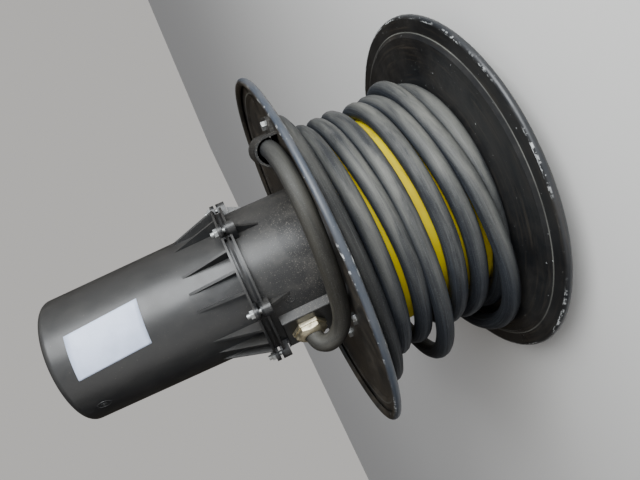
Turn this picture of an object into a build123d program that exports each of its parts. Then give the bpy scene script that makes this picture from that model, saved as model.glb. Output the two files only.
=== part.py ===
from build123d import *
import os
from math import cos, pi, radians, tan

# Cable reel: two pressed discs, a painted drum, a coil of heavy rubber cable and a moulded
# housing for the slip rings, turning on a hollow shaft with a mounting flange.
# Millimetres. The reel stands on its mounting flange: Z goes up along the axis, and the origin is
# the centre of the mounting face.
# The pieces are made as the reel lies on its rims, and stood up when they are written: while they
# are made the axis is X, the mounting face is at 0 with the reel towards -X, and angles go round
# the axis from the top, towards +Y.

# Discs
disc_radius = 300.0
disc_sheet = 2.5
disc_gap = 246.0
disc_step = 4.0
step_width = 7.0
outer_ring_width = 25.0
curl_radius = 4.75
curl_arc = 270.0
drain_slot_angle = -128.0
drain_slot_inset = 16.0
drain_slot_length = 14.0
drain_slot_width = 5.0

# Drum
drum_radius = 172.0
drum_wall = 3.0
end_plate = 6.0
disc_screw_size = 10.0
disc_screw_flats = 17.0
disc_screw_head = 6.4
disc_screw_count = 8
disc_screw_circle = 155.0
disc_screw_start = -125.0

# Cable
cable_diameter = 28.0
coil_turns = 8
coil_clearance = 0.4
coil_side_gap = 1.5

# Bearings
bearing_flange = 10.0
bearing_flange_radius = 75.0
bearing_nose = 12.0
bearing_nose_radius = 38.0
bearing_nose_taper = 3.0
bearing_spigot = 18.0
bearing_spigot_radius = 45.0
bearing_screw_size = 8.0
bearing_screw_flats = 13.0
bearing_screw_head = 5.3
bearing_screw_start = 45.0
bearing_screw_count = 4
bearing_screw_circle = 60.0
spigot_clearance = 0.1
running_clearance = 0.05
axial_play = 0.5

# Shaft
shaft_radius = 25.0
shaft_bore_radius = 16.0
shaft_chamfer = 1.0
shaft_overhang = 40.0
shoulder_radius = 33.0
shoulder_length = 15.0
mounting_flange = 12.0
mounting_flange_radius = 100.0
mounting_hole_radius = 7.0
mounting_hole_start = 45.0
mounting_hole_count = 4
mounting_hole_circle = 80.0
ring_width = 2.5
ring_height = 5.0
ring_groove = 1.5

# Housing
housing_wall = 4.0
base_radius = 115.0
base_length = 122.0
base_foot = 6.0
base_foot_inner_radius = 92.0
cover_radius = 108.0
cover_end_radius = 101.0
cover_length = 300.5
cover_edge_radius = 11.0
cover_groove_radii = (62.0, 80.0)
cover_groove_width = 2.5
cover_groove_depth = 1.0
clamp_radius = 129.0
clamp_thickness = 7.0
seal_thickness = 4.0
seal_radius = 121.0
seal_inner_radius = 112.0
lug_count = 6
lug_start = 9.0
lug_width = 22.0
lug_boss = 8.0
clamp_screw_size = 8.0
clamp_screw_flats = 13.0
clamp_screw_head = 5.3
clamp_nut_height = 6.4
head_pocket_room = 2.0
clamp_screw_circle = 131.0
clamp_thread_end = 5.0
ribs_between_lugs = 3
rib_thickness = 4.0
rib_length = 74.0
lug_rib_length = 34.0

# Flat boss for the gland, on the side of the base
boss_face = 121.5
boss_half_height = 46.0
boss_start = 14.0
boss_end = 104.0
boss_edge = 2.5

# Gland
gland_place = 66.5
gland_thread_radius = 20.0
gland_neck_radius = 18.0
gland_flats = 50.0
gland_collar = 6.0
gland_nut_flats = 46.0
gland_nut_length = 12.0
gland_nut_mouth_radius = 17.5
gland_neck = 6.0
locknut_flats = 52.0
locknut_length = 6.0
gland_seal_gap = 0.3

# Lead from the gland to the hood: distance out from the disc, place across and height
lead_route = [
    (66.5, -122.0, 0.0),
    (66.5, -147.0, 0.0),
    (55.0, -161.0, 4.0),
    (39.0, -163.0, 14.0),
    (26.0, -157.5, 30.0),
    (18.5, -150.0, 56.0),
    (16.5, -138.0, 92.0),
    (16.0, -121.5, 138.0),
    (16.0, -93.0, 183.0),
    (16.0, -57.0, 217.5),
    (16.0, -10.0, 232.5),
    (17.0, 38.5, 222.0),
    (18.5, 78.0, 194.0),
    (19.5, 103.0, 165.0),
    (14.0, 115.0, 150.0),
    (-2.5, 121.0, 143.5),
]
bend_share = 0.45
lead_hole_radius = 21.0

# Hood over the place where the lead goes through the disc
hood_start = (57.0, 207.0)
hood_end = (118.0, 147.0)
hood_wall = 3.5
hood_room = 5.0
hood_axis_height = 18.0
hood_foot_width = 24.0
hood_foot_length = 62.0
hood_foot_thickness = 6.0
hood_foot_corner = 8.0
hood_screw_size = 8.0
hood_screw_flats = 13.0
hood_screw_head = 5.3

hole_clearance = 0.25
cut_past = 1.0

# Places along the axis that follow from the sizes above
far_face = -(mounting_flange + shoulder_length + axial_play + bearing_nose + bearing_flange)
middle = far_face - disc_sheet - disc_gap / 2
near_face = middle - disc_gap / 2 - disc_sheet
base_end = near_face - base_length
cover_start = base_end - seal_thickness
cover_end = cover_start - cover_length
cover_slope = (cover_radius - cover_end_radius) / cover_length
cable_radius = cable_diameter / 2
coil_radius = drum_radius + coil_clearance + cable_radius
step_outer_radius = disc_radius - outer_ring_width
step_inner_radius = step_outer_radius - step_width
drain_slot_radius = disc_radius - drain_slot_inset
hood_inner = cable_radius + hood_room
hood_outer = hood_inner + hood_wall


def turned(*outline):
    """A solid of revolution about the axis, from points of (place along the axis, radius)."""
    return revolve(make_face(Polyline(*outline, close=True)), axis=Axis.X)


def bar(radius, start, end):
    """A round bar along the axis between two places."""
    length = abs(end - start)
    return Pos((start + end) / 2, 0, 0) * Rot(0, 90, 0) * Cylinder(radius, length)


def hexagon(flats, start, end):
    """A hexagonal bar along the axis between two places."""
    outline = RegularPolygon(flats / 2, 6, major_radius=False)
    return Pos(min(start, end), 0, 0) * Rot(0, 90, 0) * extrude(outline, abs(end - start))


def around(shape, angle, radius=0):
    """Takes a shape made on the axis out to a radius, at an angle from the top."""
    return Rot(90 - angle, 0, 0) * Pos(0, radius, 0) * shape


def ring_of(shape, count, start, radius):
    """Copies of one shape, evenly spaced on a circle."""
    return [around(shape, start + index * 360 / count, radius) for index in range(count)]


def screw(size, flats, head, seat, grip, side):
    """A hexagon screw along the axis: its head stands on the seat, on the side that is given."""
    return hexagon(flats, seat, seat + side * head) + bar(size / 2, seat, seat - side * grip)


def write(name, *solids):
    """Stands the solids of one node up on the mounting flange and writes them."""
    standing = [Rot(0, 90, 0) * solid for solid in solids]
    shape = standing[0] if len(standing) == 1 else Compound(children=standing)
    shape.label = name
    export_step(shape, f"parts/{name}.step")


def disc_holes():
    """What is drilled through a disc and the drum's end plate behind it."""
    start = near_face - cut_past
    end = far_face + cut_past
    large = bar(disc_screw_size / 2 + hole_clearance, start, end)
    small = bar(bearing_screw_size / 2 + hole_clearance, start, end)
    holes = ring_of(large, disc_screw_count, disc_screw_start, disc_screw_circle)
    return holes + ring_of(small, bearing_screw_count, bearing_screw_start, bearing_screw_circle)


def disc(side):
    """A pressed disc: flat middle, a step, an outer ring and a rim curled away from the cable."""
    flat = disc_gap / 2 + disc_sheet / 2
    ring = flat + disc_step
    rim = disc_radius - curl_radius - disc_sheet / 2
    hub = bearing_spigot_radius + spigot_clearance
    sheet_line = Polyline(
        (middle + side * flat, hub),
        (middle + side * flat, step_inner_radius),
        (middle + side * ring, step_outer_radius),
        (middle + side * ring, rim),
    )
    curl_centre = (middle + side * (ring + curl_radius), rim)
    curl = CenterArc(curl_centre, curl_radius, 90 + side * 90, -side * curl_arc)
    section = offset(Wire(sheet_line.edges() + curl.edges()), disc_sheet / 2, kind=Kind.INTERSECTION)
    hub_hole = bar(hub, middle, middle + side * disc_gap)
    return revolve(make_face(section.edges()), axis=Axis.X) - hub_hole - disc_holes()


def near_disc():
    """The disc on the housing's side, with the hole for the lead and a slot in its outer ring."""
    out, across, height = lead_route[-1]
    inside = near_face + disc_sheet + cut_past
    lead_hole = Pos(0, across, height) * bar(lead_hole_radius, near_face - cut_past, inside)
    slot = Pos(near_face - disc_step, 0, 0) * Box(4 * disc_sheet, drain_slot_width, drain_slot_length)
    frame, length = hood_frame()
    screw_hole = standing_bar(hood_screw_size / 2 + hole_clearance, -disc_sheet - cut_past, cut_past)
    screw_holes = [frame * place * screw_hole for place in hood_screw_places(length)]
    return disc(-1) - lead_hole - around(slot, drain_slot_angle, drain_slot_radius) - screw_holes


def drum():
    """The drum: a tube with a plate in each end."""
    left = middle - disc_gap / 2
    right = middle + disc_gap / 2
    hub = bearing_spigot_radius + spigot_clearance
    body = turned(
        (left, hub),
        (left, drum_radius),
        (right, drum_radius),
        (right, hub),
        (right - end_plate, hub),
        (right - end_plate, drum_radius - drum_wall),
        (left + end_plate, drum_radius - drum_wall),
        (left + end_plate, hub),
    )
    return body - disc_holes()


def coil():
    """The cable's turns on the drum, as one turned solid with a round back for each turn."""
    half = disc_gap / 2 - coil_side_gap
    pitch = (2 * half - cable_diameter) / (coil_turns - 1)
    bore = drum_radius + coil_clearance
    first = middle - half
    last = middle + half
    edges = [
        Line((first, coil_radius), (first, bore)),
        Line((first, bore), (last, bore)),
        Line((last, bore), (last, coil_radius)),
    ]
    for turn in range(coil_turns):
        centre = first + cable_radius + turn * pitch
        start = (centre - cable_radius, coil_radius)
        end = (centre + cable_radius, coil_radius)
        edges.append(ThreePointArc(start, (centre, coil_radius + cable_radius), end))
        if turn < coil_turns - 1:
            edges.append(Line(end, (centre + pitch - cable_radius, coil_radius)))
    return revolve(make_face(edges), axis=Axis.X)


def lead():
    """The lead from the gland to the disc: straight runs joined by arcs as large as they allow."""
    points = [Vector(near_face - out, across, height) for out, across, height in lead_route]
    bends = []
    for before, corner, after in zip(points, points[1:], points[2:]):
        turn = (corner - before).get_angle(after - corner)
        shorter = min((corner - before).length, (after - corner).length)
        bends.append(bend_share * shorter / tan(radians(turn) / 2))
    path = FilletPolyline(*points, radius=bends)
    start = Plane(origin=path @ 0, z_dir=path % 0)
    tube = sweep(start * Circle(cable_radius), path=path)
    print("lead bends:", [round(bend, 1) for bend in bends])
    print("lead length:", round(path.length, 1))
    print("lead volume share:", round(tube.volume / (path.length * pi * cable_radius**2), 4))
    return tube


def bearing(side):
    """A flanged bearing housing, screwed to the outside of a disc."""
    face = middle + side * (disc_gap / 2 + disc_sheet)
    bore = shaft_radius + running_clearance
    body = turned(
        (face - side * bearing_spigot, bore),
        (face - side * bearing_spigot, bearing_spigot_radius),
        (face, bearing_spigot_radius),
        (face, bearing_flange_radius),
        (face + side * bearing_flange, bearing_flange_radius),
        (face + side * bearing_flange, bearing_nose_radius),
        (face + side * (bearing_flange + bearing_nose), bearing_nose_radius - bearing_nose_taper),
        (face + side * (bearing_flange + bearing_nose), bore),
    )
    hole = bar(bearing_screw_size / 2 + hole_clearance, face, face + side * bearing_flange)
    return body - ring_of(hole, bearing_screw_count, bearing_screw_start, bearing_screw_circle)


def mounting_shaft():
    """The hollow shaft with its shoulder and mounting flange, which stand still."""
    nose = near_face - bearing_flange - bearing_nose
    tip = nose - shaft_overhang
    groove_end = nose - axial_play
    groove_start = groove_end - ring_width
    body = turned(
        (tip, shaft_bore_radius),
        (tip, shaft_radius - shaft_chamfer),
        (tip + shaft_chamfer, shaft_radius),
        (groove_start, shaft_radius),
        (groove_start, shaft_radius - ring_groove),
        (groove_end, shaft_radius - ring_groove),
        (groove_end, shaft_radius),
        (-mounting_flange - shoulder_length, shaft_radius),
        (-mounting_flange - shoulder_length, shoulder_radius),
        (-mounting_flange, shoulder_radius),
        (-mounting_flange, mounting_flange_radius),
        (0, mounting_flange_radius),
        (0, shaft_bore_radius),
    )
    hole = bar(mounting_hole_radius, -mounting_flange - cut_past, cut_past)
    return body - ring_of(hole, mounting_hole_count, mounting_hole_start, mounting_hole_circle)


def retaining_ring():
    """The ring in the shaft's groove that keeps the reel on the shaft."""
    end = near_face - bearing_flange - bearing_nose - axial_play
    start = end - ring_width
    inner = shaft_radius - ring_groove
    outer = inner + ring_height
    return turned((end, inner), (end, outer), (start, outer), (start, inner))


def lug(start, end):
    """A lug for a clamp screw, across the clamp flange from one place to the other."""
    length = abs(end - start)
    centre = (start + end) / 2
    inner = base_radius - housing_wall / 2
    middle_radius = (inner + clamp_screw_circle) / 2
    block = Pos(centre, middle_radius, 0) * Box(length, clamp_screw_circle - inner, lug_width)
    nose = Pos(0, clamp_screw_circle, 0) * bar(lug_width / 2, start, end)
    return block + nose


def gusset(foot, tip, foot_radius, tip_radius, height_radius):
    """A triangular rib along the axis, highest at its foot on a flange."""
    depth = housing_wall / 2
    outline = Polyline(
        (foot, foot_radius - depth),
        (foot, height_radius),
        (tip, tip_radius),
        (tip, tip_radius - depth),
        close=True,
    )
    return extrude(make_face(outline), rib_thickness / 2, both=True)


def housing_base():
    """The moulded base: a short tube with a foot, a clamp flange, lugs and a flat boss."""
    inner = base_radius - housing_wall
    boss_length = boss_end - boss_start
    boss_centre = near_face - (boss_start + boss_end) / 2
    shell = turned((near_face, 0), (near_face, base_radius), (base_end, base_radius), (base_end, 0))
    boss = Pos(boss_centre, -boss_face / 2, 0) * Box(boss_length, boss_face, 2 * boss_half_height)
    boss = fillet(boss.faces().sort_by(Axis.Y)[0].edges(), boss_edge)
    flange = bar(clamp_radius, base_end, base_end + clamp_thickness)
    lug_end = base_end + clamp_thickness + lug_boss
    lugs = ring_of(lug(base_end, lug_end), lug_count, lug_start, 0)
    rib = gusset(lug_end, lug_end + lug_rib_length, base_radius, base_radius, clamp_screw_circle)
    ribs = ring_of(rib, lug_count, lug_start, 0)
    room = bar(inner, near_face - base_foot, base_end - cut_past)
    foot_hole = bar(base_foot_inner_radius, near_face + cut_past, base_end)
    boss_room = Pos(boss_centre, -(boss_face - housing_wall) / 2, 0) * Box(
        boss_length - 2 * housing_wall, boss_face - housing_wall, 2 * (boss_half_height - housing_wall)
    )
    gland_hole = Pos(near_face - gland_place, -boss_face, 0) * Rot(90, 0, 0) * Cylinder(
        gland_thread_radius + hole_clearance, 4 * housing_wall
    )
    screw_hole = bar(clamp_screw_size / 2 + hole_clearance, base_end - cut_past, lug_end + cut_past)
    pocket_radius = clamp_screw_flats / 2 + head_pocket_room
    head_room = bar(pocket_radius, lug_end - clamp_screw_head, lug_end + cut_past)
    holes = ring_of(screw_hole + head_room, lug_count, lug_start, clamp_screw_circle)
    body = shell + boss + flange + lugs + ribs
    return body - room - foot_hole - boss_room - gland_hole - holes


def housing_cover():
    """The moulded cover: a long cup with a slight taper, a clamp flange, lugs and ribs."""
    outer = turned(
        (cover_start, 0),
        (cover_start, cover_radius),
        (cover_end, cover_end_radius),
        (cover_end, 0),
    )
    outer = fillet(outer.edges().filter_by(GeomType.CIRCLE).sort_by(Axis.X)[0], cover_edge_radius)
    floor = cover_end + housing_wall
    room = turned(
        (cover_start + cut_past, 0),
        (cover_start + cut_past, cover_radius - housing_wall),
        (floor, cover_end_radius - housing_wall),
        (floor, 0),
    )
    inner_edge = room.edges().filter_by(GeomType.CIRCLE).sort_by(Axis.X)[0]
    room = fillet(inner_edge, cover_edge_radius - housing_wall)
    flange_end = cover_start - clamp_thickness
    flange = bar(clamp_radius, flange_end, cover_start)
    lugs = ring_of(lug(flange_end, cover_start), lug_count, lug_start, 0)
    tip_radius = cover_radius - cover_slope * (clamp_thickness + rib_length)
    rib = gusset(flange_end, flange_end - rib_length, cover_radius, tip_radius, clamp_radius)
    places = lug_count * (ribs_between_lugs + 1)
    ribs = [
        around(rib, lug_start + index * 360 / places)
        for index in range(places)
        if index % (ribs_between_lugs + 1)
    ]
    hole = bar(clamp_screw_size / 2 + hole_clearance, flange_end - cut_past, cover_start + cut_past)
    holes = ring_of(hole, lug_count, lug_start, clamp_screw_circle)
    grooves = [
        turned(
            (cover_end, radius),
            (cover_end, radius + cover_groove_width),
            (cover_end + cover_groove_depth, radius + cover_groove_width),
            (cover_end + cover_groove_depth, radius),
        )
        for radius in cover_groove_radii
    ]
    return outer + flange + lugs + ribs - room - holes - grooves


def housing_seal():
    """The ring between the two clamp flanges."""
    return turned(
        (base_end, seal_inner_radius),
        (base_end, seal_radius),
        (cover_start, seal_radius),
        (cover_start, seal_inner_radius),
    )


def gland_frame():
    """The gland's axis: from the boss face outwards."""
    return Plane(origin=(near_face - gland_place, -boss_face, 0), x_dir=(1, 0, 0), z_dir=(0, -1, 0))


def standing_bar(radius, start, end):
    """A round bar along a frame's Z, between two heights."""
    return Pos(0, 0, (start + end) / 2) * Cylinder(radius, end - start)


def standing_hexagon(flats, start, end):
    """A hexagonal bar along a frame's Z, between two heights."""
    return Pos(0, 0, start) * extrude(RegularPolygon(flats / 2, 6, major_radius=False), end - start)


def gland_body():
    """The gland's threaded body, with the collar that stands on the boss."""
    bottom = -housing_wall - locknut_length
    top = gland_collar + gland_neck
    stub = standing_bar(gland_thread_radius, bottom, 0)
    collar = standing_hexagon(gland_flats, 0, gland_collar)
    neck = standing_bar(gland_neck_radius, gland_collar, top)
    bore = standing_bar(cable_radius + gland_seal_gap, bottom - cut_past, top + cut_past)
    return gland_frame() * (stub + collar + neck - bore)


def gland_nut():
    """The gland's nut: a hexagon with a rounded mouth that closes on the cable."""
    start = gland_collar
    end = gland_collar + gland_nut_length
    corner = gland_nut_flats / 2 / cos(radians(30))
    outline = Polyline(
        (0, start),
        (corner, start),
        (corner, (start + end) / 2),
        (gland_nut_mouth_radius, end),
        (0, end),
        close=True,
    )
    dome = revolve(make_face(outline).rotate(Axis.X, 90), axis=Axis.Z)
    room = standing_bar(gland_neck_radius + spigot_clearance, start - cut_past, start + gland_neck)
    bore = standing_bar(cable_radius + gland_seal_gap, start - cut_past, end + cut_past)
    prism = standing_hexagon(gland_nut_flats, start, end)
    return gland_frame() * ((prism & dome) - room - bore)


def gland_locknut():
    """The nut that holds the gland from inside the base."""
    start = -housing_wall - locknut_length
    end = -housing_wall
    hole = standing_bar(gland_thread_radius + spigot_clearance, start - cut_past, end + cut_past)
    return gland_frame() * (standing_hexagon(locknut_flats, start, end) - hole)


def hood_frame():
    """A frame on the disc's face: X along the hood, Z out from the disc."""
    start = Vector(near_face, *hood_start)
    end = Vector(near_face, *hood_end)
    return Plane(origin=start, x_dir=end - start, z_dir=(-1, 0, 0)), (end - start).length


def tunnel(radius, start, end):
    """A round-backed ridge with a round end, standing on the disc."""
    length = end - start
    legs = Pos((start + end) / 2, 0, hood_axis_height / 2) * Box(length, 2 * radius, hood_axis_height)
    back = Pos((start + end) / 2, 0, hood_axis_height) * Rot(0, 90, 0) * Cylinder(radius, length)
    tip = Pos(end, 0, hood_axis_height / 2) * Cylinder(radius, hood_axis_height)
    crown = Pos(end, 0, hood_axis_height) * Sphere(radius)
    return legs + back + tip + crown


def hood():
    """The hood that covers the lead where it goes through the disc, with its two feet."""
    frame, length = hood_frame()
    foot = Pos(length / 2, 0, hood_foot_thickness / 2) * Box(
        hood_foot_length, 2 * (hood_outer + hood_foot_width), hood_foot_thickness
    )
    foot = fillet(foot.edges().filter_by(Axis.Z), hood_foot_corner)
    floor = Pos(length / 2, 0, -hood_outer) * Box(4 * length, 8 * hood_outer, 2 * hood_outer)
    shell = tunnel(hood_outer, 0, length) + foot - tunnel(hood_inner, -hood_outer, length) - floor
    hole = standing_bar(hood_screw_size / 2 + hole_clearance, -cut_past, hood_foot_thickness + cut_past)
    return frame * (shell - [place * hole for place in hood_screw_places(length)])


def hood_screw_places(length):
    """The two places of the hood's screws in its own frame."""
    across = hood_outer + hood_foot_width / 2
    return [Pos(length / 2, side * across, 0) for side in (-1, 1)]


def hood_screws():
    """The screws through the hood's feet and the disc."""
    frame, length = hood_frame()
    seat = hood_foot_thickness
    head = standing_hexagon(hood_screw_flats, seat, seat + hood_screw_head)
    shank = standing_bar(hood_screw_size / 2, -disc_sheet, seat)
    return [frame * place * (head + shank) for place in hood_screw_places(length)]


def paired_screws(size, flats, head, inset, grip, count, start, circle):
    """One ring of screws on each side of the reel, seated on what stands that far out from the disc."""
    near = screw(size, flats, head, near_face - inset, grip, -1)
    far = screw(size, flats, head, far_face + inset, grip, 1)
    return ring_of(near, count, start, circle) + ring_of(far, count, start, circle)


def disc_screws():
    """The screws that hold the discs to the drum."""
    return paired_screws(
        disc_screw_size,
        disc_screw_flats,
        disc_screw_head,
        0,
        disc_sheet + end_plate,
        disc_screw_count,
        disc_screw_start,
        disc_screw_circle,
    )


def bearing_screws():
    """The screws that hold the bearings to the discs and the drum."""
    return paired_screws(
        bearing_screw_size,
        bearing_screw_flats,
        bearing_screw_head,
        bearing_flange,
        bearing_flange + disc_sheet + end_plate,
        bearing_screw_count,
        bearing_screw_start,
        bearing_screw_circle,
    )


def clamp_screws():
    """The screws through the lugs of the base and the cover."""
    seat = base_end + clamp_thickness + lug_boss - clamp_screw_head
    grip = seat - cover_start + clamp_thickness + clamp_nut_height + clamp_thread_end
    one = screw(clamp_screw_size, clamp_screw_flats, clamp_screw_head, seat, grip, 1)
    return ring_of(one, lug_count, lug_start, clamp_screw_circle)


def clamp_nuts():
    """The nuts of those screws, on the cover's side."""
    seat = cover_start - clamp_thickness
    end = seat - clamp_nut_height
    one = hexagon(clamp_screw_flats, seat, end) - bar(clamp_screw_size / 2 + spigot_clearance, seat, end)
    return ring_of(one, lug_count, lug_start, clamp_screw_circle)


os.makedirs("parts", exist_ok=True)

write("near_disc", near_disc())
write("far_disc", disc(1))
write("drum", drum())
write("wound_cable", coil())
write("lead_cable", lead())
write("lead_hood", hood())
write("hood_screws", *hood_screws())
write("housing_base", housing_base())
write("housing_cover", housing_cover())
write("housing_seal", housing_seal())
write("clamp_screws", *clamp_screws())
write("clamp_nuts", *clamp_nuts())
write("gland_body", gland_body())
write("gland_nut", gland_nut())
write("gland_locknut", gland_locknut())
write("mounting_shaft", mounting_shaft())
write("retaining_ring", retaining_ring())
write("near_bearing", bearing(-1))
write("far_bearing", bearing(1))
write("disc_screws", *disc_screws())
write("bearing_screws", *bearing_screws())
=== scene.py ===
from math import cos, degrees, pi, radians, sin

import bmesh
import bpy
from mathutils import Matrix, Vector


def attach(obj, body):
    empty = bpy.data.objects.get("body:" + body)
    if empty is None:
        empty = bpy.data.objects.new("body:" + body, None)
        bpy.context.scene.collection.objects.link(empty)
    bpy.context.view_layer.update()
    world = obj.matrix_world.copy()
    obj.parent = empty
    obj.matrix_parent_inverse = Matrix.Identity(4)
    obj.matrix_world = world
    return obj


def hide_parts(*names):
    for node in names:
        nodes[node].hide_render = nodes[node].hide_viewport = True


# The cable reel, dressed: the cable laid turn by turn on the drum, rounded mouldings, and paint,
# plastic, rubber and metal with their wear. Metres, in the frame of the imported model: Z goes up
# along the axis, the reel stands on its mounting flange, and angles go round from +X towards +Y.

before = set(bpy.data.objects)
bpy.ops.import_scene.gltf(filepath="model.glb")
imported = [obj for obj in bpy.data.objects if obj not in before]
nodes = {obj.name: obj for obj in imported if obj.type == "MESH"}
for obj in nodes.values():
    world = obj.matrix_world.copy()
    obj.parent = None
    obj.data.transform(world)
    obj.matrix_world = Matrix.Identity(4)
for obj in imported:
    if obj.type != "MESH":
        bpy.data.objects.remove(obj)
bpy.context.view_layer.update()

reel = {
    "nearFace": 0.3005,    # the near disc's outer face
    "baseTop": 0.4225,     # where the housing's base ends
    "coverStart": 0.4265,
    "coverTop": 0.727,
    "coverRadius": 0.108,
    "coverEndRadius": 0.101,
}


# Shader helpers


def newMaterial(name, roughness=0.5, metallic=0.0):
    mat = bpy.data.materials.new(name)
    mat.use_nodes = True
    shader = mat.node_tree.nodes["Principled BSDF"]
    shader.inputs["Roughness"].default_value = roughness
    shader.inputs["Metallic"].default_value = metallic
    return mat, shader


def addNode(mat, kind, inputs=None, **settings):
    node = mat.node_tree.nodes.new("ShaderNode" + kind)
    for key, value in settings.items():
        setattr(node, key, value)
    for key, value in (inputs or {}).items():
        if isinstance(value, bpy.types.NodeSocket):
            mat.node_tree.links.new(value, node.inputs[key])
        else:
            node.inputs[key].default_value = value
    return node


def objectPlace(mat):
    return addNode(mat, "TexCoord").outputs["Object"]


def calc(mat, operation, first, second=0.0, third=0.0):
    values = {0: first, 1: second, 2: third}
    return addNode(mat, "Math", values, operation=operation).outputs[0]


def times(mat, first, second):
    return calc(mat, "MULTIPLY", first, second)


def plus(mat, first, second):
    return calc(mat, "ADD", first, second)


def minus(mat, first, second):
    return calc(mat, "SUBTRACT", first, second)


def noise(mat, place, scale, detail=4.0, roughness=0.55, distortion=0.0):
    inputs = {"Vector": place, "Scale": scale, "Detail": detail, "Roughness": roughness,
              "Distortion": distortion}
    return addNode(mat, "TexNoise", inputs).outputs["Fac"]


def between(mat, value, low, high, start=0.0, end=1.0):
    # the value's part from low to high, stretched to start..end
    inputs = {"Value": value, "From Min": low, "From Max": high, "To Min": start, "To Max": end}
    return addNode(mat, "MapRange", inputs, clamp=True).outputs["Result"]


def blendPaint(mat, share, under, over):
    node = addNode(mat, "Mix", {"Factor": share}, data_type="RGBA")
    for key, value in ((6, under), (7, over)):
        if isinstance(value, bpy.types.NodeSocket):
            mat.node_tree.links.new(value, node.inputs[key])
        else:
            node.inputs[key].default_value = value
    return node.outputs[2]


def link(mat, output, shader, name):
    mat.node_tree.links.new(output, shader.inputs[name])


def addBump(mat, shader, height, strength, distance=0.001):
    inputs = {"Height": height, "Strength": strength, "Distance": distance}
    link(mat, addNode(mat, "Bump", inputs).outputs["Normal"], shader, "Normal")


def paint(red, green, blue):
    # a colour as a picture program gives it, 0 to 255, for a shader's socket
    def linear(value):
        value /= 255
        return value / 12.92 if value < 0.04 else ((value + 0.055) / 1.055) ** 2.4
    return (linear(red), linear(green), linear(blue), 1.0)


def axisPlace(mat):
    # the radius, the direction from the axis as x and y, and the height
    x, y, z = addNode(mat, "SeparateXYZ", {"Vector": objectPlace(mat)}).outputs
    radius = calc(mat, "SQRT", plus(mat, times(mat, x, x), times(mat, y, y)))
    safe = calc(mat, "MAXIMUM", radius, 0.001)      # never divides by nothing, on the axis itself
    return radius, calc(mat, "DIVIDE", x, safe), calc(mat, "DIVIDE", y, safe), z


def roundPlace(mat, around, across):
    # a place whose pattern runs round the axis: slow along the circle, quick across it
    radius, dirX, dirY, z = axisPlace(mat)
    inputs = {
        "X": times(mat, dirX, around),
        "Y": times(mat, dirY, around),
        "Z": times(mat, plus(mat, z, radius), across),
    }
    return addNode(mat, "CombineXYZ", inputs).outputs[0]


def facingUp(mat, low, high):
    # how far a face looks up as the reel lies: where dust settles, and on the cable where its
    # painted sky-lit crown goes
    normal = addNode(mat, "TexCoord").outputs["Normal"]
    return between(mat, addNode(mat, "SeparateXYZ", {"Vector": normal}).outputs[0], low, high)


def roundAxis(angle, height, radius):
    return Vector((radius * cos(radians(angle)), radius * sin(radians(angle)), height))


def mix(first, second, share):
    return first + (second - first) * share


def smoothStep(value, low, high):
    part = min(max((value - low) / (high - low), 0.0), 1.0)
    return part * part * (3 - 2 * part)


# Materials. A noise is its scale, detail, roughness and distortion. A range is the value at which a
# thing begins to show and the one at which it shows in full, then its share at each of them.

plasticLook = {
    "black": paint(24, 26, 29),
    "worn": paint(33, 34, 36),
    "dust": paint(118, 113, 104),
    # the next colour is the lead's painted shadow on the base
    "patch": paint(26, 25, 24),
    # the next colour is painted shade, laid in a band round the clamp's channel between base and
    # cover
    "channelShade": paint(8, 8, 9),          # the clamp's channel is dark inside
    "cloud": (9.0, 5.0, 0.6),
    "smear": (38.0, 6.0, 0.7, 0.6),
    "speck": (640.0, 2.0, 0.5),
    "grain": (900.0, 3.0, 0.6),
    "wornRange": (0.35, 0.75),
    "dustyHeights": (0.47, 0.30),    # dust grows from the first height down to the second
    "filmRange": (0.42, 0.80),
    "filmShares": (0.06, 0.22),      # far from the disc and beside it
    "facingUpRange": (0.1, 1.0),
    "settledShare": 0.12,
    "speckLimits": (0.71, 0.585),    # far from the disc and beside it: lower gives more specks
    "speckSoft": 0.05,
    "speckShare": 0.7,
    "speckRough": 0.3,
    "leadShadowMiddle": (-14, 0.334),     # a darker oval under the lead, its painted shadow: degrees and height
    "leadShadowSize": (17, 0.026),
    "leadShadowEdge": (1.15, 0.75),
    "leadShadowShare": 0.7,
    # the painted shade in the clamp's channel: its middle height, then its range and shares
    "seamHeight": 0.4245,
    "channelShadeRange": (0.0060, 0.0050, 0.0, 0.9),
    "roughRange": (0.3, 0.8, 0.30, 0.44),
    "relief": (0.25, 1.2),           # of the grain and of the cloud
    "bump": (0.22, 0.0006),
}


def leadShadowOval(mat, look):
    # the lead's painted shadow: an oval on the base, with a soft edge
    dirX, dirY, z = axisPlace(mat)[1:]
    angle = calc(mat, "ARCTAN2", dirY, dirX)
    middle, height = look["leadShadowMiddle"]
    wide, tall = look["leadShadowSize"]
    across = calc(mat, "DIVIDE", minus(mat, angle, radians(middle)), radians(wide))
    along = calc(mat, "DIVIDE", minus(mat, z, height), tall)
    far = plus(mat, times(mat, across, across), times(mat, along, along))
    return between(mat, far, *look["leadShadowEdge"])


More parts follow.
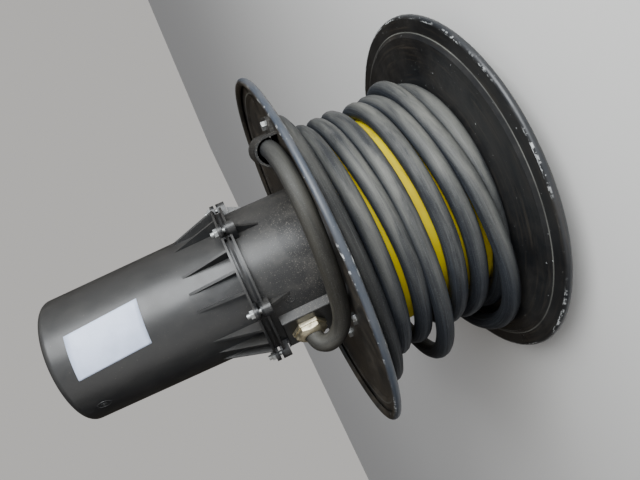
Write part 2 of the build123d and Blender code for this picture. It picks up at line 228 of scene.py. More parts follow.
def housingPlastic():
    look = plasticLook
    mat, shader = newMaterial("housingPlastic")
    place = objectPlace(mat)
    z = addNode(mat, "SeparateXYZ", {"Vector": place}).outputs[2]
    cloud = noise(mat, place, *look["cloud"])
    smear = noise(mat, place, *look["smear"])
    speck = noise(mat, place, *look["speck"])
    nearDisc = between(mat, z, *look["dustyHeights"])
    colour = blendPaint(mat, between(mat, cloud, *look["wornRange"]), look["black"], look["worn"])
    filmShare = between(mat, nearDisc, 0, 1, *look["filmShares"])
    film = times(mat, between(mat, smear, *look["filmRange"]), filmShare)
    onTop = times(mat, facingUp(mat, *look["facingUpRange"]), look["settledShare"])
    colour = blendPaint(mat, plus(mat, film, onTop), colour, look["dust"])
    limit = between(mat, nearDisc, 0, 1, *look["speckLimits"])
    dots = between(mat, minus(mat, speck, limit), 0, look["speckSoft"])
    # painted shadow of the lead: a darker oval on the base
    patch = times(mat, leadShadowOval(mat, look), look["leadShadowShare"])
    colour = blendPaint(mat, patch, colour, look["patch"])
    colour = blendPaint(mat, times(mat, dots, look["speckShare"]), colour, look["dust"])
    # a near-black band round the joint between base and cover: painted shade in the clamp's channel
    channelShade = calc(mat, "ABSOLUTE", minus(mat, z, look["seamHeight"]))
    colour = blendPaint(mat, between(mat, channelShade, *look["channelShadeRange"]), colour, look["channelShade"])
    link(mat, colour, shader, "Base Color")
    rough = between(mat, smear, *look["roughRange"])
    link(mat, plus(mat, rough, times(mat, dots, look["speckRough"])), shader, "Roughness")
    grain = noise(mat, place, *look["grain"])
    grainShare, cloudShare = look["relief"]
    height = plus(mat, times(mat, grain, grainShare), times(mat, cloud, cloudShare))
    addBump(mat, shader, height, *look["bump"])
    return mat


discLook = {
    "black": paint(20, 21, 23),
    "faded": paint(38, 39, 40),
    "dust": paint(104, 94, 80),
    "chip": paint(205, 207, 206),
    # the next colour is the painted highlight along the pressed step
    "stepHighlight": paint(120, 120, 114),
    # the next colour is painted sky sheen, bluish, on the curled rim
    "edge": paint(74, 84, 98),
    "cloud": (7.0, 5.0, 0.6),
    "arcPlace": (2.2, 260.0),        # round the rim and across it
    "arcs": (1.0, 5.0, 0.65),
    "film": (16.0, 6.0, 0.7, 0.8),
    "speck": (210.0, 2.0, 0.5),
    "fadedRange": (0.35, 0.72),
    "scuffRange": (0.54, 0.74, 0.0, 0.26),
    "filmRange": (0.40, 0.75),
    "stepRadius": 0.2752,            # a thin painted highlight along the pressed step
    "stepHighlightRange": (0.0013, 0.0004),
    "stepHighlightShares": (0.38, 0.60, 0.25, 0.8),
    "speckRange": (0.735, 0.755, 0.0, 0.55),
    "dashPlace": (30.0, 700.0),      # the chips: round the rim and across it
    "dash": (1.0, 3.0, 0.7, 0.3),
    "dashSoft": 0.03,
    "stretchPlace": (3.0, 4.0),      # chips come in stretches of the rim
    "stretch": (1.0, 2.0),
    "stretchRange": (0.42, 0.58),
    "chipInner": (0.2950, 0.2958),   # the chips lie between these radii, on the curled rim
    "chipOuter": (0.2990, 0.2982),
    "rimSheenRadii": (0.2960, 0.2985),
    "roughRange": (0.3, 0.8, 0.24, 0.42),
    "filmRough": 0.22,
    "relief": (0.8, 0.6),            # of the cloud, and how deep the chips go
    "bump": (0.25, 0.0008),
}


def discPaint(name, dusty, chipLevel, sheen):
    look = discLook
    mat, shader = newMaterial(name)
    place = objectPlace(mat)
    radius = axisPlace(mat)[0]
    cloud = noise(mat, place, *look["cloud"])
    arcs = noise(mat, roundPlace(mat, *look["arcPlace"]), *look["arcs"])
    colour = blendPaint(mat, between(mat, cloud, *look["fadedRange"]), look["black"], look["faded"])
    colour = blendPaint(mat, between(mat, arcs, *look["scuffRange"]), colour, look["dust"])
    film = between(mat, noise(mat, place, *look["film"]), *look["filmRange"])
    colour = blendPaint(mat, times(mat, film, dusty), colour, look["dust"])
    # a thin lighter line along the pressed step, broken up round it: painted highlight
    step = calc(mat, "ABSOLUTE", minus(mat, radius, look["stepRadius"]))
    worn = between(mat, arcs, *look["stepHighlightShares"])
    line = times(mat, between(mat, step, *look["stepHighlightRange"]), worn)
    colour = blendPaint(mat, line, colour, look["stepHighlight"])
    # specks of dirt, and paint chipped off the rim in short dashes
    speck = noise(mat, place, *look["speck"])
    colour = blendPaint(mat, between(mat, speck, *look["speckRange"]), colour, look["chip"])
    dash = noise(mat, roundPlace(mat, *look["dashPlace"]), *look["dash"])
    stretch = noise(mat, roundPlace(mat, *look["stretchPlace"]), *look["stretch"])
    inner = between(mat, radius, *look["chipInner"])
    band = times(mat, inner, between(mat, radius, *look["chipOuter"]))
    rim = times(mat, band, between(mat, stretch, *look["stretchRange"]))
    # a bluish band on the curled rim: painted sky sheen, its share set by sheen
    edge = between(mat, radius, *look["rimSheenRadii"], 0, sheen)
    colour = blendPaint(mat, edge, colour, look["edge"])
    chips = times(mat, rim, between(mat, dash, chipLevel, chipLevel + look["dashSoft"]))
    colour = blendPaint(mat, chips, colour, look["chip"])
    link(mat, colour, shader, "Base Color")
    rough = between(mat, cloud, *look["roughRange"])
    link(mat, plus(mat, rough, times(mat, film, look["filmRough"])), shader, "Roughness")
    cloudShare, chipDepth = look["relief"]
    height = minus(mat, times(mat, cloud, cloudShare), times(mat, chips, chipDepth))
    addBump(mat, shader, height, *look["bump"])
    return mat


drumLook = {
    "yellow": paint(226, 206, 0),
    "shade": paint(208, 180, 0),
    "grime": paint(92, 72, 34),
    "roughness": 0.3,
    "specular": 0.22,
    "cloud": (12.0, 4.0),
    "rubPlace": (3.0, 120.0),
    "rub": (1.0, 5.0, 0.7),
    "shadeRange": (0.35, 0.7),
    "grimeRange": (0.58, 0.78, 0.0, 0.75),
    "roughRange": (0.35, 0.75, 0.46, 0.62),
    "bump": (0.15, 0.0006),
}


def drumPaint():
    look = drumLook
    mat, shader = newMaterial("drumPaint", look["roughness"])
    shader.inputs["Specular IOR Level"].default_value = look["specular"]
    cloud = noise(mat, objectPlace(mat), *look["cloud"])
    rub = noise(mat, roundPlace(mat, *look["rubPlace"]), *look["rub"])
    shade = between(mat, cloud, *look["shadeRange"])
    colour = blendPaint(mat, shade, look["yellow"], look["shade"])
    colour = blendPaint(mat, between(mat, rub, *look["grimeRange"]), colour, look["grime"])
    link(mat, colour, shader, "Base Color")
    link(mat, between(mat, rub, *look["roughRange"]), shader, "Roughness")
    addBump(mat, shader, cloud, *look["bump"])
    return mat


cableLook = {
    "rubber": paint(25, 29, 36),
    "worn": paint(47, 51, 57),
    "dark": paint(11, 12, 15),
    "chalk": paint(104, 106, 104),
    # the next colour is light dust and painted sky sheen together, on the turns' tops
    "crownDustAndSheen": paint(116, 115, 108),
    "leadDust": paint(58, 55, 48),
    "specular": 0.35,
    "patchPlace": (0.7, 7.0),        # round the cable, and to the metre along it
    "patch": (1.0, 5.0, 0.6, 0.5),
    "streakPlace": (7.0, 9.0),
    "streak": (1.0, 5.0, 0.7),
    "finePlace": (14.0, 420.0),
    "fine": (1.0, 3.0, 0.6),
    "gritPlace": (9.0, 620.0),
    "grit": (1.0, 2.0),
    "wornRange": (0.36, 0.66),
    "darkRange": (0.48, 0.68, 0.0, 0.8),
    "chalkRange": (0.42, 0.28, 0.0, 0.45),
    "firstTurn": (0.20, 0.17),       # the shares of the length at which the darker first turn ends
    "firstDark": 0.6,
    "firstCrownShare": (1.0, 0.45),        # dust and painted sky sheen on the tops of the other turns and of the first
    "leadEnd": (1.15, 0.85),         # the lead's dust ends about where the lead does
    "leadShares": (0.25, 0.6, 0.35, 0.85),
    "facingUpRange": (0.30, 1.0),
    "crownShares": (0.32, 0.62, 0.08, 0.80),
    "speckRange": (0.60, 0.70, 0.0, 0.35),
    "gritRange": (0.60, 0.68, 0.0, 0.30),
    "roughRange": (0.3, 0.7, 0.48, 0.72),
    "relief": (0.9, 0.25),           # of the streaks and of the fine grain
    "bump": (0.35, 0.0007),
}


def cableRubber(length, leadShare):
    # the pattern follows the cable: its UV map runs along it and round it
    look = cableLook
    mat, shader = newMaterial("cableRubber")
    shader.inputs["Specular IOR Level"].default_value = look["specular"]
    uvPlace = addNode(mat, "UVMap", uv_map="UVMap").outputs[0]
    along, turn = addNode(mat, "SeparateXYZ", {"Vector": uvPlace}).outputs[:2]
    angle = times(mat, turn, 2 * pi)
    ringX = calc(mat, "COSINE", angle)
    ringY = calc(mat, "SINE", angle)
    metres = times(mat, along, length)

    def cableNoise(key):
        ring, lengthwise = look[key + "Place"]
        inputs = {
            "X": times(mat, ringX, ring),
            "Y": times(mat, ringY, ring),
            "Z": times(mat, metres, lengthwise),
        }
        return noise(mat, addNode(mat, "CombineXYZ", inputs).outputs[0], *look[key])

    patch = cableNoise("patch")
    streak = cableNoise("streak")
    fine = cableNoise("fine")
    colour = blendPaint(mat, between(mat, patch, *look["wornRange"]), look["rubber"], look["worn"])
    colour = blendPaint(mat, between(mat, streak, *look["darkRange"]), colour, look["dark"])
    first = between(mat, along, *look["firstTurn"], 0, look["firstDark"])
    colour = blendPaint(mat, first, colour, look["dark"])
    colour = blendPaint(mat, between(mat, streak, *look["chalkRange"]), colour, look["chalk"])
    past, before = look["leadEnd"]
    lead = between(mat, along, leadShare * past, leadShare * before)
    dusty = times(mat, lead, between(mat, patch, *look["leadShares"]))
    colour = blendPaint(mat, dusty, colour, look["leadDust"])
    # the turns' tops lighter, in patches: settled dust and a painted sky-lit sheen; less on the
    # first turn
    lies = between(mat, patch, *look["crownShares"])
    top = times(mat, facingUp(mat, *look["facingUpRange"]), lies)
    start, end = look["firstTurn"]
    rest, firstCrownShare = look["firstCrownShare"]
    top = times(mat, top, between(mat, along, end, start, firstCrownShare, rest))
    colour = blendPaint(mat, top, colour, look["crownDustAndSheen"])
    colour = blendPaint(mat, between(mat, fine, *look["speckRange"]), colour, look["dark"])
    grit = between(mat, cableNoise("grit"), *look["gritRange"])
    colour = blendPaint(mat, grit, colour, look["chalk"])
    link(mat, colour, shader, "Base Color")
    link(mat, between(mat, streak, *look["roughRange"]), shader, "Roughness")
    streakShare, fineShare = look["relief"]
    height = plus(mat, times(mat, streak, streakShare), times(mat, fine, fineShare))
    addBump(mat, shader, height, *look["bump"])
    return mat


metalLook = {
    "glandNickel": paint(216, 206, 178),
    "glandGrime": paint(150, 134, 102),
    "zinc": paint(186, 188, 186),
    "zincGrime": paint(92, 86, 76),
    "shaft": paint(150, 150, 150),
    "shaftGrime": paint(84, 72, 62),
    "cloud": (5.0, 0.65, 0.3),       # without its scale, which each metal gives
    "grimeSoft": 0.22,
    "grimeDull": 0.75,               # how much less metallic the grime is
    "roughNoise": (0.3, 0.75),
    "roughMore": 0.32,
    "bump": (0.3, 0.0004),
}


def wornMetal(name, bright, grime, roughness, cloudScale, grimeLow=0.48):
    look = metalLook
    mat, shader = newMaterial(name, roughness, 1.0)
    cloud = noise(mat, objectPlace(mat), cloudScale, *look["cloud"])
    share = between(mat, cloud, grimeLow, grimeLow + look["grimeSoft"])
    link(mat, blendPaint(mat, share, look[bright], look[grime]), shader, "Base Color")
    link(mat, minus(mat, 1.0, times(mat, share, look["grimeDull"])), shader, "Metallic")
    rough = between(mat, cloud, *look["roughNoise"], roughness, roughness + look["roughMore"])
    link(mat, rough, shader, "Roughness")
    addBump(mat, shader, cloud, *look["bump"])
    return mat


plainLook = {
    "sealRubber": {
        "paints": (paint(20, 20, 21), paint(46, 44, 42)),
        "cloud": (60.0, 4.0),
        "range": (0.4, 0.7),
        "rough": 0.7,
        "relief": (60.0, 4.0),
        "bump": (0.2, 0.0005),
    },
    "bearingIron": {
        "paints": (paint(34, 35, 37), paint(70, 64, 58)),
        "cloud": (40.0, 5.0),
        "range": (0.35, 0.7),
        "roughRange": (0.3, 0.7, 0.45, 0.7),
        "relief": (420.0, 3.0),
        "bump": (0.35, 0.0006),
    },
    "labelPaper": {
        "paints": (paint(204, 214, 236), paint(182, 192, 214)),
        "cloud": (26.0, 4.0),
        "range": (0.4, 0.75),
        "rough": 0.45,
        "relief": (70.0, 3.0),
        "bump": (0.2, 0.0006),
    },
}


def plainFinish(name):
    # two tones in soft clouds over a grain
    look = plainLook[name]
    mat, shader = newMaterial(name, look.get("rough", 0.5))
    place = objectPlace(mat)
    cloud = noise(mat, place, *look["cloud"])
    share = between(mat, cloud, *look["range"])
    link(mat, blendPaint(mat, share, *look["paints"]), shader, "Base Color")
    if "roughRange" in look:
        link(mat, between(mat, cloud, *look["roughRange"]), shader, "Roughness")
    addBump(mat, shader, noise(mat, place, *look["relief"]), *look["bump"])
    return mat


# How a finished piece is added


def addPiece(name, mesh, mat, body, slot, *replaced):
    piece = bpy.data.objects.new(name, mesh)
    bpy.context.scene.collection.objects.link(piece)
    mesh.materials.clear()
    mesh.materials.append(mat)
    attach(piece, body)
    if replaced:
        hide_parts(*replaced)
    return piece


meshData = {
    "smoothAngle": 35,     # sharper edges than this stay sharp
    "mergeGap": 0.00002,
    "bevelSteps": 2,
    "bevelAngle": 38,
    "faceWeight": 80,
}


def meshFrom(name, bm):
    mesh = bpy.data.meshes.new(name)
    bm.normal_update()
    bm.to_mesh(mesh)
    bm.free()
    mesh.shade_smooth()
    mesh.set_sharp_from_angle(angle=radians(meshData["smoothAngle"]))
    return mesh


def mergedMesh(name, mesh):
    bm = bmesh.new()
    bm.from_mesh(mesh)
    bmesh.ops.remove_doubles(bm, verts=bm.verts, dist=meshData["mergeGap"])
    return meshFrom(name, bm)


def roundedCopy(name, width, mat, body, slot, cutter=None):
    # a copy of a CAD node with its corners rounded, in its place
    mesh = mergedMesh(name + "_rounded", nodes[name].data)
    if cutter:
        mesh = mergedMesh(name + "_rounded", carve(mesh, cutter))
    piece = addPiece(name + "_rounded", mesh, mat, body, slot, name)
    rounding = piece.modifiers.new("rounding", "BEVEL")
    rounding.width = width
    rounding.segments = meshData["bevelSteps"]
    rounding.limit_method = "ANGLE"
    rounding.angle_limit = radians(meshData["bevelAngle"])
    shading = piece.modifiers.new("shading", "WEIGHTED_NORMAL")      # flat faces stay flat
    shading.weight = meshData["faceWeight"]
    shading.keep_sharp = True


# The housing's clamp: the lips stand clear of the seal, with a channel between the lugs

clampData = {
    "lugs": 6,
    "firstLug": 9,         # degrees
    "lugHalf": 6.5,        # degrees of lug on each side of its middle
    "channelRadius": 0.1213,
    "channelOuter": 0.1400,
    "lip": 0.0035,         # how deep the channel goes into each flange
    "past": 0.0010,        # how far a cutter reaches past a flange
    "steps": 24,
    "mergeGap": 0.00001,
}


def channelCutter(low, high):
    # an arc of square section for each stretch between two lugs
    data = clampData
    bm = bmesh.new()
    inner, outer = data["channelRadius"], data["channelOuter"]
    for index in range(data["lugs"]):
        pitch = 360 / data["lugs"]
        start = radians(data["firstLug"] + index * pitch + data["lugHalf"])
        sweep = radians(pitch - 2 * data["lugHalf"])
        corners = [(inner, low), (outer, low), (outer, high), (inner, high)]
        verts = [bm.verts.new((r * cos(start), r * sin(start), z)) for r, z in corners]
        face = bm.faces.new(verts)
        geom = [face] + list(face.edges) + verts
        bmesh.ops.spin(bm, geom=geom, axis=(0, 0, 1), cent=(0, 0, 0), angle=sweep,
                       steps=data["steps"], use_duplicate=False)
    bmesh.ops.remove_doubles(bm, verts=bm.verts, dist=data["mergeGap"])
    bmesh.ops.recalc_face_normals(bm, faces=bm.faces)
    return meshFrom("channelCutter", bm)


def carve(mesh, cutterMesh):
    # takes the cutter out of a mesh and gives the new one back
    scene = bpy.context.scene
    body = bpy.data.objects.new("carved", mesh)
    cutter = bpy.data.objects.new("cutter", cutterMesh)
    scene.collection.objects.link(body)
    scene.collection.objects.link(cutter)
    cut = body.modifiers.new("cut", "BOOLEAN")
    cut.operation = "DIFFERENCE"
    cut.solver = "EXACT"
    cut.object = cutter
    bpy.context.view_layer.update()
    graph = bpy.context.evaluated_depsgraph_get()
    done = bpy.data.meshes.new_from_object(body.evaluated_get(graph))
    bpy.data.objects.remove(body)
    bpy.data.objects.remove(cutter)
    return done


# The blank paper label on the cover, and the marks that the mould leaves

labelData = {
    "low": 0.5785,
    "high": 0.6900,
    "start": (-5, -9),     # degrees at the low and at the high end: it was stuck on a little askew
    "end": (-43, -47),
    "lift": 0.0004,
    "thickness": 0.0002,
    "cells": (28, 14),
    "skew": 0.004,         # the far edge sits this much higher
    "curl": (0.86, 0.0012),          # one corner curls up: from this share of the width, this far
}


def coverRadiusAt(height):
    share = (height - reel["coverStart"]) / (reel["coverTop"] - reel["coverStart"])
    return mix(reel["coverRadius"], reel["coverEndRadius"], share)


def buildLabel():
    data = labelData
    bm = bmesh.new()
    wide, tall = data["cells"]
    bmesh.ops.create_grid(bm, x_segments=wide, y_segments=tall, size=0.5)
    curlStart, curlLift = data["curl"]
    for vert in bm.verts:
        across, along = vert.co.x + 0.5, vert.co.y + 0.5
        start, end = mix(*data["start"], along), mix(*data["end"], along)
        height = mix(data["low"], data["high"], along) + data["skew"] * across
        lift = data["lift"] + curlLift * max(0.0, across - curlStart) * along
        vert.co = roundAxis(mix(start, end, across), height, coverRadiusAt(height) + lift)
    bmesh.ops.recalc_face_normals(bm, faces=bm.faces)
    outward = sum(face.normal.dot(face.calc_center_median()) for face in bm.faces)
    if outward < 0:
        bmesh.ops.reverse_faces(bm, faces=bm.faces)
    mesh = meshFrom("paperLabel", bm)
    label = addPiece("paperLabel", mesh, plainFinish("labelPaper"), "spool", "housing_black")
    sheet = label.modifiers.new("paper", "SOLIDIFY")
    sheet.thickness = data["thickness"]
    sheet.offset = 1


mouldMarks = [
    {"name": "baseMark", "angle": -55, "height": 0.3775, "radius": 0.115, "size": (0.009, 0.009)},
    {"name": "coverMark", "angle": -79, "height": 0.6868, "radius": 0.1020, "size": (0.007, 0.011)},
]


ringData = {
    "rings": ((1.0, 0.86), (0.38, 0.22)),      # outer and inner rim, as shares of the mark's size
    "sides": 40,
    "relief": 0.0008,
}


def buildMouldMark(mark, mat):
    # two low raised rings, round or oval, one in the other
    bm = bmesh.new()
    for ring in ringData["rings"]:
        rims = []
        for share in ring:
            made = bmesh.ops.create_circle(bm, segments=ringData["sides"], radius=share)
            rims += dict.fromkeys(edge for vert in made["verts"] for edge in vert.link_edges)
        bmesh.ops.bridge_loops(bm, edges=rims)
    across, along = mark["size"]
    for vert in bm.verts:
        turn = degrees(vert.co.x * across / mark["radius"])
        height = mark["height"] + vert.co.y * along
        vert.co = roundAxis(mark["angle"] + turn, height, mark["radius"])
    bmesh.ops.recalc_face_normals(bm, faces=bm.faces)
    piece = addPiece(mark["name"], meshFrom(mark["name"], bm), mat, "spool", "housing_black")
    relief = piece.modifiers.new("relief", "SOLIDIFY")
    relief.thickness = ringData["relief"]
    relief.offset = 0


# The cable

cableData = {
    "diameter": 0.028,
    "sides": 5,            # the curve's bevel resolution: 4 * (sides + 1) faces round the cable
    "smooth": 6,           # steps between two points
    "layRadius": 0.1865,   # from the axis to the middle of a turn that lies on the drum
    "step": 15,            # degrees from point to point on a turn
    "shift": (40, 130),    # on the hidden back a turn moves over to the next one's place
    "slacken": (40, 100),  # and takes up its hang
    "firstSlacken": (100, 220),
    "climb": (320, 400),   # the first turn climbs over its own start
    "descend": (70, 140),
    "hangEnd": 160,
    "points": (55, 401),   # the degrees between which a turn has its points
    "tailEnd": 98,
    "inside": (0.188, 47, 0.2880),   # radius, degrees and height, just through the disc
}

# the lead, from the gland to the hood: height, across, and how far out from the near disc
leadPoints = [
    (0.0, -0.122, 0.0665),
    (0.0, -0.147, 0.0665),
    (0.004, -0.161, 0.055),
    (0.014, -0.163, 0.039),
    (0.030, -0.1575, 0.026),
    (0.056, -0.150, 0.0185),
    (0.092, -0.138, 0.0165),
    (0.138, -0.1215, 0.016),
    (0.183, -0.093, 0.016),
    (0.2175, -0.057, 0.016),
    (0.2325, -0.010, 0.016),
    (0.222, 0.0385, 0.017),
    (0.194, 0.078, 0.0185),
    (0.165, 0.103, 0.0195),
    (0.150, 0.115, 0.014),
    (0.1435, 0.121, -0.0025),
]

# the turns: heights at four angles, from the bottom of the reel as it lies, by its front, to its
# top; how far the turn hangs below the drum; and how far from the top it leaves the drum
turnAngles = (220, 265, 310, 360)
turns = [
    {"heights": (0.2690, 0.2725, 0.2745, 0.2790), "hang": 0.081, "leave": 35, "rise": 0.028},
    {"heights": (0.2400, 0.2440, 0.2460, 0.2490), "hang": 0.030, "leave": 35, "rise": 0.0},
    {"heights": (0.2050, 0.2060, 0.2085, 0.2190), "hang": 0.024, "leave": 35, "rise": 0.0},
    {"heights": (0.1780, 0.1820, 0.1850, 0.1910), "hang": 0.081, "leave": 35, "rise": 0.0},
    {"heights": (0.1480, 0.1430, 0.1430, 0.1500), "hang": 0.016, "leave": 35, "rise": 0.0},
    {"heights": (0.1150, 0.1070, 0.1090, 0.1195), "hang": 0.020, "leave": 35, "rise": 0.0},
    {"heights": (0.0700, 0.0695, 0.0835, 0.0935), "hang": 0.068, "leave": -10, "rise": 0.0},
    {"heights": (0.0667, 0.0666, 0.0666, 0.0667), "hang": 0.020, "leave": 35, "rise": 0.0},
]
entry = {"heights": (0.284,), "hang": 0.020, "leave": 35, "rise": 0.0}     # just inside the disc


def turnHeight(angle, turn, before):
    if angle <= turnAngles[0]:
        moved = smoothStep(angle, *cableData["shift"])
        return mix(before["heights"][-1], turn["heights"][0], moved)
    keys = list(zip(turnAngles, turn["heights"]))
    for (start, low), (end, high) in zip(keys, keys[1:]):
        if angle <= end:
            return mix(low, high, (angle - start) / (end - start))
    return turn["heights"][-1]


def turnPlace(angle, turn, before):
    # one point of a turn; the angle goes from 40 on the hidden back to 400 at the top again
    data = cableData
    slack = smoothStep(angle, *data["firstSlacken" if before is entry else "slacken"])
    hang = mix(before["hang"], turn["hang"], slack)
    leave = mix(before["leave"], turn["leave"], slack)
    fromTop = angle if angle <= 180 else abs(360 - angle)
    radius = data["layRadius"] + hang * smoothStep(fromTop, leave, data["hangEnd"])
    radius += turn["rise"] * smoothStep(angle, *data["climb"])
    radius += before["rise"] * (1 - smoothStep(angle, *data["descend"]))
    radius /= cos(radians(data["step"]) / 2)      # the curve runs inside its points
    return roundAxis(angle, turnHeight(angle, turn, before), radius)


def cableRoute():
    data = cableData
    face = reel["nearFace"]
    points = [Vector((height, across, face + out)) for height, across, out in leadPoints]
    radius, angle, height = data["inside"]
    points.append(roundAxis(angle, height, radius))
    before = entry
    start, end = data["points"]
    for turn in turns:
        points += [turnPlace(angle, turn, before) for angle in range(start, end, data["step"])]
        before = turn
    tail = {"heights": (before["heights"][-1],), "hang": before["hang"], "leave": before["leave"],
            "rise": 0.0}
    ends = range(start, data["tailEnd"], data["step"])
    return points + [turnPlace(angle, tail, before) for angle in ends]


def routeCurve(points, bevel):
    data = bpy.data.curves.new("cableRoute", "CURVE")
    data.dimensions = "3D"
    data.twist_mode = "MINIMUM"
    data.resolution_u = cableData["smooth"]
    data.bevel_depth = bevel
    data.bevel_resolution = cableData["sides"]
    data.use_fill_caps = bevel > 0
    spline = data.splines.new("NURBS")
    spline.points.add(len(points) - 1)
    for point, place in zip(spline.points, points):
        point.co = (*place, 1.0)
    spline.order_u = 3
    spline.use_endpoint_u = True
    curve = bpy.data.objects.new("cableRoute", data)
    bpy.context.scene.collection.objects.link(curve)
    bpy.context.view_layer.update()
    mesh = bpy.data.meshes.new_from_object(curve)
    bpy.data.objects.remove(curve)
    bpy.data.curves.remove(data)
    return mesh


def buildCable():
    points = cableRoute()
    line = [v.co.copy() for v in routeCurve(points, 0.0).vertices]
    runs = [(b - a).length for a, b in zip(line, line[1:])]
    length = sum(runs)
    leadRuns = sum(runs[:(len(leadPoints) - 1) * cableData["smooth"]])
    print("cable length", round(length, 3), "lead", round(leadRuns, 3))
    mat = cableRubber(length, leadRuns / length)
    mesh = routeCurve(points, cableData["diameter"] / 2)
    mesh.name = "cable"
    mesh.shade_smooth()
    addPiece("cable", mesh, mat, "spool", "cable_rubber", "wound_cable", "lead_cable")
    return line


capData = {
    "radius": 0.0153,
    "length": 0.030,
    "past": 0.004,         # how far it reaches past the cable's end
    "round": 0.003,
    "sides": 48,
    "steps": 4,
}


def buildEndCap(line, mat):
    # the rubber cap on the cable's hidden end
    data = capData
    bm = bmesh.new()
    bmesh.ops.create_cone(bm, cap_ends=True, segments=data["sides"], radius1=data["radius"],
                          radius2=data["radius"], depth=data["length"])
    rims = [edge for edge in bm.edges if len(edge.link_faces) == 2
            and {len(face.verts) for face in edge.link_faces} == {4, data["sides"]}]
    bmesh.ops.bevel(bm, geom=rims, offset=data["round"], affect="EDGES", segments=data["steps"],
                    profile=0.5, material=-1)
    way = (line[-1] - line[-2]).normalized()
    middle = line[-1] + way * (data["past"] - data["length"] / 2)
    turn = way.to_track_quat("Z", "Y").to_matrix().to_4x4()
    bmesh.ops.transform(bm, matrix=Matrix.Translation(middle) @ turn, verts=bm.verts)
    addPiece("cableCap", meshFrom("cableCap", bm), mat, "spool", "seal_rubber")


# Stage, camera and light

viewData = {
    "place": (0.7545, -0.4276, 0.4103),
    "right": (-0.0976, -0.4243, -0.9003),
    "up": (0.5094, 0.7558, -0.4114),
    "forward": (-0.8550, 0.4988, -0.1424),
    "lens": 28.86,
    "sensor": 36.0,
    "clipStart": 0.01,
}


def buildCamera():
    data = bpy.data.cameras.new("camera")
    data.lens = viewData["lens"]
    data.sensor_width = viewData["sensor"]
    data.clip_start = viewData["clipStart"]
    camera = bpy.data.objects.new("camera", data)
    right, up, forward = (Vector(viewData[key]).normalized() for key in ("right", "up", "forward"))
    turned = Matrix((right, up, -forward)).transposed().to_4x4()
    camera.matrix_world = Matrix.Translation(viewData["place"]) @ turned
    bpy.context.scene.collection.objects.link(camera)
    bpy.context.scene.camera = camera


stageData = {
    "floorSize": 12.0,
    "pale": paint(236, 234, 230),
    "backdrop": paint(196, 194, 191),
    "sky": paint(226, 234, 246),
    "ground": paint(150, 138, 122),
    "roughness": 0.9,
    "skyRange": (-0.35, 0.85),       # of the direction's X
    "lightRange": (-0.4, 0.9, 0.17, 1.10),
    "backdropLight": 0.98,
}


def buildStage():
    data = stageData
    bm = bmesh.new()
    bmesh.ops.create_grid(bm, x_segments=1, y_segments=1, size=data["floorSize"])
    floor = bpy.data.objects.new("floor", meshFrom("floor", bm))
    mat, shader = newMaterial("floorPale", data["roughness"])
    shader.inputs["Base Color"].default_value = data["pale"]
    floor.data.materials.append(mat)
    bpy.context.scene.collection.objects.link(floor)

    # the room: bright on the side that is uppermost when the reel lies, darker opposite
    world = bpy.data.worlds.new("room")
    world.use_nodes = True
    bpy.context.scene.world = world
    ground = world.node_tree.nodes["Background"]
    direction = addNode(world, "TexCoord").outputs["Generated"]
    side = addNode(world, "SeparateXYZ", {"Vector": direction}).outputs[0]
    share = between(world, side, *data["skyRange"])
    link(world, blendPaint(world, share, data["ground"], data["sky"]), ground, "Color")
    link(world, between(world, side, *data["lightRange"]), ground, "Strength")
    # the camera sees a plain backdrop
    plain = {"Color": data["backdrop"], "Strength": data["backdropLight"]}
    seen = addNode(world, "Background", plain)
    which = addNode(world, "LightPath").outputs["Is Camera Ray"]
    mixed = addNode(world, "MixShader", {0: which, 1: ground.outputs[0], 2: seen.outputs[0]})
    out = world.node_tree.nodes["World Output"]
    world.node_tree.links.new(mixed.outputs[0], out.inputs["Surface"])


lampTarget = (0, 0, 0.35)
lamps = [
    {
        "name": "skyLamp",
        "place": (1.9, 0.1, 0.9),
        "size": 1.5,
        "power": 72,
        "colour": (0.95, 0.98, 1.0),
    },
    {
        "name": "fillLamp",
        "place": (0.4, -2.0, 1.2),
        "size": 1.4,
        "power": 5,
        "colour": (1.0, 0.98, 0.95),
    },
]


def addLamp(lamp):
    data = bpy.data.lights.new(lamp["name"], "AREA")
    data.shape = "DISK"
    data.size = lamp["size"]
    data.energy = lamp["power"]
    data.color = lamp["colour"]
    piece = bpy.data.objects.new(lamp["name"], data)
    way = Vector(lampTarget) - Vector(lamp["place"])
    turned = way.to_track_quat("-Z", "Y").to_matrix().to_4x4()
    piece.matrix_world = Matrix.Translation(lamp["place"]) @ turned
    bpy.context.scene.collection.objects.link(piece)


# Dress the reel

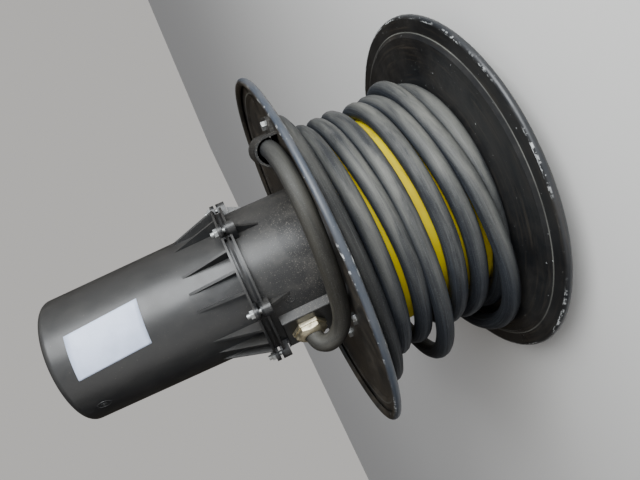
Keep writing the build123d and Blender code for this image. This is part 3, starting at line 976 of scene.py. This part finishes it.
print("camera and stage")
buildCamera()
buildStage()
for lamp in lamps:
    addLamp(lamp)

print("cable")
cableLine = buildCable()

print("materials")
plastic = housingPlastic()
nearPaint = discPaint("discPaintNear", dusty=0.46, chipLevel=0.56, sheen=0.45)
farPaint = discPaint("discPaintFar", dusty=0.10, chipLevel=0.53, sheen=0.06)
gland = wornMetal("glandNickel", "glandNickel", "glandGrime", 0.34, 120.0, 0.52)
zinc = wornMetal("zincSteel", "zinc", "zincGrime", 0.34, 90.0)
shaft = wornMetal("shaftSteel", "shaft", "shaftGrime", 0.36, 30.0)
seal = plainFinish("sealRubber")
iron = plainFinish("bearingIron")

finishes = {
    "near_disc": nearPaint,
    "far_disc": farPaint,
    "drum": drumPaint(),
    "housing_seal": seal,
    "gland_locknut": gland,
    "mounting_shaft": shaft,
    "retaining_ring": shaft,
    "near_bearing": iron,
    "far_bearing": iron,
    "clamp_screws": zinc,
}
for nodeName, finish in finishes.items():
    nodes[nodeName].data.materials.clear()
    nodes[nodeName].data.materials.append(finish)

print("housing")
buildEndCap(cableLine, seal)
lip, past = clampData["lip"], clampData["past"]
baseCutter = channelCutter(reel["baseTop"] - lip, reel["baseTop"] + past)
coverCutter = channelCutter(reel["coverStart"] - past, reel["coverStart"] + lip)
copies = [
    # node, rounding, finish, slot and cutter
    ("housing_base", 0.0006, plastic, "housing_black", baseCutter),
    ("housing_cover", 0.0006, plastic, "housing_black", coverCutter),
    ("lead_hood", 0.0010, plastic, "housing_black", None),
    ("clamp_nuts", 0.0006, zinc, "zinc_steel", None),
    ("disc_screws", 0.0006, zinc, "zinc_steel", None),
    ("bearing_screws", 0.0006, zinc, "zinc_steel", None),
    ("hood_screws", 0.0006, zinc, "zinc_steel", None),
    ("gland_body", 0.0008, gland, "gland_brass", None),
    ("gland_nut", 0.0008, gland, "gland_brass", None),
]
for nodeName, width, finish, slot, cutter in copies:
    roundedCopy(nodeName, width, finish, "spool", slot, cutter)
buildLabel()
for mark in mouldMarks:
    buildMouldMark(mark, plastic)
